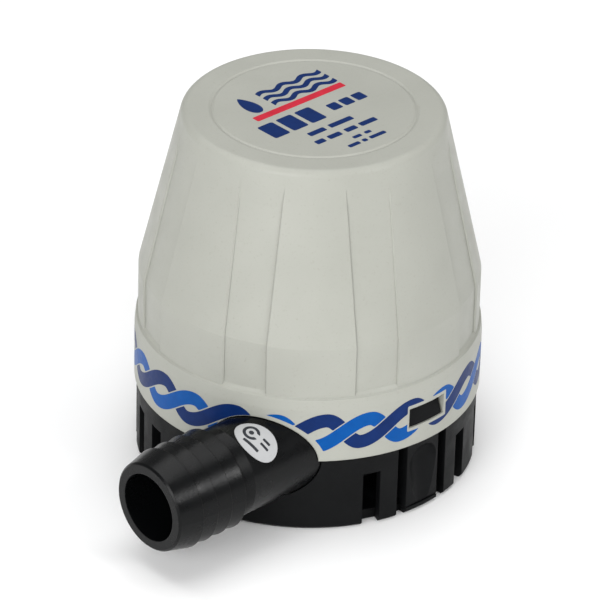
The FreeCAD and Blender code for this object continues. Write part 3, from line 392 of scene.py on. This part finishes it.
def sprung_coil(side, outer):
    """A brush's spring, which shortens against its holder's end as the brush is pushed back."""
    node = f"brush_spring_{side}"
    piece = bpy.data.objects.new(f"spring_coil_{side}", frame["nodes"][node].data.copy())
    bpy.context.scene.collection.objects.link(piece)
    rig.ride(piece, "pump")
    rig.slot(piece, "steel")
    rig.replaces(piece, node)
    low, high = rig.box(node)
    feed = next(joint for joint in frame["joints"] if joint["name"] == f"brush_{side}_feed")
    keep = 1 - feed["range_m"][1] / (high.x - low.x)
    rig.squash(piece, feed["name"], axis=(1, 0, 0), anchor=(outer(low.x, high.x), 0, 0), keep=keep)


sprung_coil("left", min)
sprung_coil("right", max)


# ---- printed films -------------------------------------------------------------------------------

FILM_RISE = 0.010 * MM
FILM_DEPTH = 0.060 * MM
# An outline keeps this share of a grid step away from the grid's places, so no face gets a tiny side.
EDGE_SHARE = 0.04
# A field's value well away from every shape, in millimetres.
FAR = 9.0


def traced(field, across, along):
    """The area where a field on a grid is positive: its points, and its faces as loops of their numbers."""
    points, faces, known = [], [], {}

    def point(key, place):
        if key not in known:
            known[key] = len(points)
            points.append(place)
        return known[key]

    for i in range(len(across) - 1):
        for j in range(len(along) - 1):
            corners = [(i, j), (i + 1, j), (i + 1, j + 1), (i, j + 1)]
            levels = [field[corner] for corner in corners]
            if max(levels) <= 0:
                continue
            loop = []
            for step in range(4):
                here, there = corners[step], corners[(step + 1) % 4]
                level, following = levels[step], levels[(step + 1) % 4]
                a, b = (np.array((across[c[0]], along[c[1]])) for c in (here, there))
                if level > 0:
                    loop.append(point(here, a))
                if (level > 0) != (following > 0):
                    share = min(max(level / (level - following), EDGE_SHARE), 1 - EDGE_SHARE)
                    loop.append(point(tuple(sorted((here, there))), a + (b - a) * share))
            if len(loop) >= 3:
                faces.append(loop)
    return points, faces


def film(name, field, across, along, wrap, finish):
    """A thin closed shell over the area where the field is positive, laid on a surface by wrap."""
    points, faces = traced(field, across, along)
    count = len(points)
    edges = dict.fromkeys(pair for loop in faces for pair in zip(loop, loop[1:] + loop[:1]))
    rims = [(a, b) for a, b in edges if (b, a) not in edges]
    verts = [wrap(*p, FILM_RISE) for p in points] + [wrap(*p, -FILM_DEPTH) for p in points]
    under = [[index + count for index in reversed(loop)] for loop in faces]
    walls = [[b, a, a + count, b + count] for a, b in rims]
    mesh = bpy.data.meshes.new(name)
    mesh.from_pydata(verts, [], faces + under + walls)
    work = bmesh.new()
    work.from_mesh(mesh)
    bmesh.ops.recalc_face_normals(work, faces=work.faces)
    work.to_mesh(mesh)
    work.free()
    mesh.materials.append(FINISHES[finish])
    piece = bpy.data.objects.new(name, mesh)
    bpy.context.scene.collection.objects.link(piece)
    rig.ride(piece, "pump")
    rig.slot(piece, "label")


def on_skirt(bearing, height, lift):
    turn = math.radians(bearing)
    reach = SKIRT_RADIUS + lift
    return (reach * math.sin(turn), -reach * math.cos(turn), height * MM)


def on_top(x, y, lift):
    return (x * MM, y * MM, COVER_TOP + lift)


# The twist round the skirt: two strands that rise slowly and fall quickly, and the one that rises passes
# over. A strand is the bearing of a crest and the height of its centre line's middle; heights, widths and
# gaps are in millimetres. The twist stops at the windows over the latches and at the arch. A window's half
# size is in degrees and millimetres, and the arch's margins are for -Y of the root's centre and for +Y of it.
TWIST_WAVES = 12
WAVE_ANGLE = 360 / TWIST_WAVES
TWIST_STRANDS = ((-6.4, 23.6), (7.8, 23.1))
TWIST_SWING = 2.8
TWIST_FALL = 11 / 30
TWIST_WIDTH = 3.1
TWIST_GAP = 0.24
TWIST_STEP = 0.5
TWIST_LEVELS = np.arange(18.6, 28.31, 0.24)
LINE_POINTS = 121
LINE_WAVES = np.arange(-2, 3)
WINDOW_BEARINGS = (0, 180)
WINDOW_CENTRE = 0.2
WINDOW_HALF = (8.6, 3.0)
WINDOW_MIDDLE = 23.4
ARCH_MARGINS = (0.9, 0.1)


def twist_fields():
    """Fields in millimetres for the dark and the light strand over the whole skirt."""
    radius = SKIRT_RADIUS / MM
    degree = math.radians(1) * radius
    steps = round(WAVE_ANGLE / TWIST_STEP)
    wave = WAVE_ANGLE * degree
    spots = np.arange(steps) * TWIST_STEP * degree
    grid_x, grid_z = np.meshgrid(spots, TWIST_LEVELS, indexing="ij")

    def distance(strand, whole):
        """Distance to a strand's centre line, over whole waves or only where it rises."""
        crest, middle = strand
        share = np.linspace(TWIST_FALL - 1, TWIST_FALL if whole else 0, LINE_POINTS)
        falling = np.cos(share / TWIST_FALL * math.pi)
        rising = np.cos(share / (1 - TWIST_FALL) * math.pi)
        line_x = (crest * degree + (share + LINE_WAVES[:, None]) * wave).ravel()
        line_z = np.tile(middle + TWIST_SWING * np.where(share > 0, falling, rising), len(LINE_WAVES))
        gap_x = grid_x[..., None] - line_x
        gap_z = grid_z[..., None] - line_z
        return np.sqrt(gap_x ** 2 + gap_z ** 2).min(axis=-1)

    half = TWIST_WIDTH / 2
    strands = []
    for own, other in (TWIST_STRANDS, TWIST_STRANDS[::-1]):
        strand = np.minimum(half - distance(own, True), distance(other, False) - half - TWIST_GAP)
        strands.append(np.tile(strand, (TWIST_WAVES, 1)))

    bearings = np.arange(TWIST_WAVES * steps + 1) * TWIST_STEP
    turns, levels = np.meshgrid(bearings, TWIST_LEVELS, indexing="ij")
    clear = np.full(turns.shape, FAR)
    for window in WINDOW_BEARINGS:
        across = (turns - window - WINDOW_CENTRE + 180) % 360 - 180
        outside = np.maximum(np.abs(across) - WINDOW_HALF[0], 0) * degree
        above = np.abs(levels - WINDOW_MIDDLE) - WINDOW_HALF[1]
        beside = (np.abs(across) - WINDOW_HALF[0]) * degree
        clear = np.minimum(clear, np.where(above > 0, np.hypot(outside, above), np.maximum(above, beside)))
    x, y = radius * np.sin(np.radians(turns)), -radius * np.cos(np.radians(turns))
    margin = np.where(y < ROOT_Y / MM, *ARCH_MARGINS)
    arch = np.hypot(y - ROOT_Y / MM, levels - ROOT_Z / MM) - ARCH_RADIUS / MM - margin
    clear = np.minimum(clear, np.where(x < 0, arch, FAR))
    closed = [np.vstack([strand, strand[:1]]) for strand in strands]
    return [np.minimum(strand, clear) for strand in closed], bearings


(dark_field, light_field), twist_bearings = twist_fields()
film("twist_dark", dark_field, twist_bearings, TWIST_LEVELS, on_skirt, "dark_ink")
film("twist_light", light_field, twist_bearings, TWIST_LEVELS, on_skirt, "light_ink")


def bar(x, y, low, high, left, right, radius):
    """A rounded bar: positive inside."""
    gap_x = np.abs(x - (left + right) / 2) - (right - left) / 2 + radius
    gap_y = np.abs(y - (low + high) / 2) - (high - low) / 2 + radius
    outside = np.hypot(np.maximum(gap_x, 0), np.maximum(gap_y, 0))
    return radius - outside - np.minimum(np.maximum(gap_x, gap_y), 0)


def bars(x, y, rows):
    """Rows of rounded bars; each row is its lowest and highest y, the bars' radius and their spans in x."""
    field = np.full(x.shape, -FAR)
    for low, high, radius, spans in rows:
        for left, right in spans:
            field = np.maximum(field, bar(x, y, low, high, left, right, radius))
    return field


DROP_FULLNESS = 1.54
DROP_TAPER = 0.85


def drop(x, y, centre_x, low, high, half):
    """A water drop with its point up."""
    share = np.clip((y - low) / (high - low), 0, 1)
    width = half * DROP_FULLNESS * np.sqrt(share) * (1 - share) ** DROP_TAPER
    return np.where((y > low) & (y < high), width - np.abs(x - centre_x), -np.abs(y - (low + high) / 2))


def ripple(x, y, left, right, height, swing, wave, thick):
    """A wavy line with square ends."""
    phase = (x - left) * 2 * math.pi / wave
    slope = swing * 2 * math.pi / wave * np.cos(phase)
    offset = np.abs(y - height - swing * np.sin(phase)) / np.hypot(1, slope)
    return np.minimum(thick / 2 - offset, np.minimum(x - left, right - x))


TOP_STEP = 0.14
TOP_ACROSS = np.arange(-16.0, 14.01, TOP_STEP)
TOP_ALONG = np.arange(-18.0, 13.81, TOP_STEP)
RIPPLE_HEIGHTS = (6.6, 9.0, 11.4)


def top_print():
    """A plain pictogram of a drop beside water, a rule, and rows of dashes on the flat top."""
    x, y = np.meshgrid(TOP_ACROSS, TOP_ALONG, indexing="ij")

    mark = drop(x, y, centre_x=-9.4, low=5.6, high=12.9, half=2.7)
    for height in RIPPLE_HEIGHTS:
        wavy = ripple(x, y, left=-5.2, right=11.8, height=height, swing=0.55, wave=5.7, thick=1.25)
        mark = np.maximum(mark, wavy)
    heading = bars(x, y, [(-4.6, 1.2, 0.5, [(-14.6, -10.6), (-9.6, -5.6), (-4.6, -0.6)])])
    note = bars(x, y, [(-3.4, -0.6, 0.4, [(2.4, 5.0), (5.8, 8.4), (9.2, 11.8)])])
    small = bars(x, y, [
        (-8.5, -7.0, 0.3, [(-8.6, -4.2), (-3.0, 3.2)]),
        (-11.9, -10.4, 0.3, [(-9.8, -7.4), (-6.4, -3.0), (-1.8, 1.2), (2.2, 6.6)]),
        (-14.8, -13.8, 0.3, [(-2.6, -0.4), (0.6, 2.2)]),
        (-17.0, -15.9, 0.3, [(-5.8, -2.8), (-2.0, -0.8), (0.0, 4.2)]),
    ])
    navy = np.maximum(np.maximum(mark, heading), note)
    rule = bars(x, y, [(3.0, 4.9, 0.15, [(-12.5, 11.6)])])
    for name, field, finish in (
        ("print_navy", navy, "dark_ink"),
        ("print_lines", small, "dark_ink"),
        ("print_rule", rule, "red_ink"),
    ):
        film(name, field, TOP_ACROSS, TOP_ALONG, on_top, finish)


top_print()


# ---- sticker on the hose tail --------------------------------------------------------------------

LABEL_SURFACE = ROOT_RADIUS + 0.16 * MM
LABEL_PLACE = -35.2
LABEL_ROLL = math.radians(31.0)
LABEL_TILT = math.radians(-74.0)
LABEL_STEP = 0.11
LABEL_U = np.arange(-4.6, 4.61, LABEL_STEP)
LABEL_V = np.arange(-3.6, 3.61, LABEL_STEP)
RING_CENTRE = (-1.9, 0.6)
RING_RADIUS = 1.5
RING_HALF_WIDTH = 0.34
RING_GAP_HALF = 0.55
RING_GAP_FIELD = -0.5
DOT_RADIUS = 0.55


def on_label(u, v, lift):
    """A point of the sticker: u along its long axis, v across it, both in millimetres."""
    along = u * math.cos(LABEL_TILT) - v * math.sin(LABEL_TILT)
    around = u * math.sin(LABEL_TILT) + v * math.cos(LABEL_TILT)
    reach = LABEL_SURFACE + lift
    turn = LABEL_ROLL - around * MM / LABEL_SURFACE
    return (
        (LABEL_PLACE + along) * MM,
        ROOT_Y - reach * math.sin(turn),
        ROOT_Z + reach * math.cos(turn),
    )


def label_print():
    """An open ring round a dot, and three dashes."""
    u, v = np.meshgrid(LABEL_U, LABEL_V, indexing="ij")
    ring_u, ring_v = u - RING_CENTRE[0], v - RING_CENTRE[1]
    reach = np.hypot(ring_u, ring_v)
    gap = (ring_u > 0) & (np.abs(ring_v) < RING_GAP_HALF)
    ring = np.where(gap, RING_GAP_FIELD, RING_HALF_WIDTH - np.abs(reach - RING_RADIUS))
    dashes = bars(u, v, [
        (0.9, 1.5, 0.2, [(0.7, 2.6)]),
        (-0.3, 0.3, 0.2, [(0.9, 3.1)]),
        (-2.3, -1.6, 0.2, [(-2.2, 1.8)]),
    ])
    marks = np.maximum(np.maximum(ring, DOT_RADIUS - reach), dashes)
    film("label_marks", marks, LABEL_U, LABEL_V, on_label, "grey_ink")


label_print()


# ---- floor, light and camera ---------------------------------------------------------------------


FLOOR_HALF = 4.0
FLOOR_DROP = 0.05 * MM


def make_floor():
    mesh = bpy.data.meshes.new("floor")
    corners = [(x * FLOOR_HALF, y * FLOOR_HALF, -FLOOR_DROP) for x, y in ((-1, -1), (1, -1), (1, 1), (-1, 1))]
    mesh.from_pydata(corners, [], [(0, 1, 2, 3)])
    shader = Shader("floor", specular=0.2)
    tint = shader.span(shader.noise(3), 0, 1)
    shader.colour(shader.mix(tint, (0.95, 0.95, 0.95, 1), (0.97, 0.97, 0.97, 1)))
    shader.roughness(shader.span(shader.noise(5), 0.8, 0.9))
    mesh.materials.append(shader.finish())
    floor = bpy.data.objects.new("floor", mesh)
    bpy.context.scene.collection.objects.link(floor)
    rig.stage(floor)


WORLD_STRENGTH = 0.3


def make_world():
    world = bpy.data.worlds.new("studio")
    world.use_nodes = True
    background = world.node_tree.nodes["Background"]
    background.inputs["Color"].default_value = (1, 1, 1, 1)
    background.inputs["Strength"].default_value = WORLD_STRENGTH
    bpy.context.scene.world = world


# Each soft box: its name, place, width and power in watts.
SOFT_BOXES = (
    ("overhead", (0.1, 0.25, 1.7), 1.6, 20),
    ("key", (-1.2, -0.9, 0.72), 1.05, 12),
    ("left", (-1.4, -0.3, 0.6), 0.7, 7),
    ("side", (0.3, -1.22, 0.76), 0.35, 6),
)


def soft_light(name, place, width, power):
    """A square soft box aimed at the middle of the pump."""
    lamp = bpy.data.lights.new(name, "AREA")
    lamp.size = width
    lamp.energy = power
    light = bpy.data.objects.new(name, lamp)
    light.location = place
    aim = Vector((0, 0, COVER_TOP / 2)) - Vector(place)
    light.rotation_euler = aim.to_track_quat("-Z", "Y").to_euler()
    bpy.context.scene.collection.objects.link(light)


CAMERA_AZIMUTH = math.radians(-43.3)
CAMERA_HEIGHT = math.radians(30.3)
CAMERA_ROLL = math.radians(1.54)
CAMERA_DISTANCE = 1.0056
CAMERA_LENS = 291.78
SENSOR_WIDTH = 36
NEAREST = 0.01
AIM_HEIGHT = 33.5 * MM
AIM_SIDE = -1.84 * MM


def make_camera():
    right = Vector((math.cos(CAMERA_AZIMUTH), math.sin(CAMERA_AZIMUTH), 0))
    back = Vector((
        math.sin(CAMERA_AZIMUTH) * math.cos(CAMERA_HEIGHT),
        -math.cos(CAMERA_AZIMUTH) * math.cos(CAMERA_HEIGHT),
        math.sin(CAMERA_HEIGHT),
    ))
    up = back.cross(right)
    place = Vector((0, 0, AIM_HEIGHT)) + right * AIM_SIDE + back * CAMERA_DISTANCE
    rolled_right = right * math.cos(CAMERA_ROLL) + up * math.sin(CAMERA_ROLL)
    rolled_up = up * math.cos(CAMERA_ROLL) - right * math.sin(CAMERA_ROLL)
    lens = bpy.data.cameras.new("camera")
    lens.lens = CAMERA_LENS
    lens.sensor_width = SENSOR_WIDTH
    lens.clip_start = NEAREST
    camera = bpy.data.objects.new("camera", lens)
    bpy.context.scene.collection.objects.link(camera)
    columns = [(*axis, 0) for axis in (rolled_right, rolled_up, back)] + [(*place, 1)]
    camera.matrix_world = Matrix(columns).transposed()
    bpy.context.scene.camera = camera


make_floor()
make_world()
for soft_box in SOFT_BOXES:
    soft_light(*soft_box)
make_camera()
bpy.context.scene.view_settings.view_transform = "Standard"

sizes = {"cad": [list(corner) for corner in cad_box], "visual": [list(corner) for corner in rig.bounds()]}
with open("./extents.json", "w") as out:
    json.dump(sizes, out)
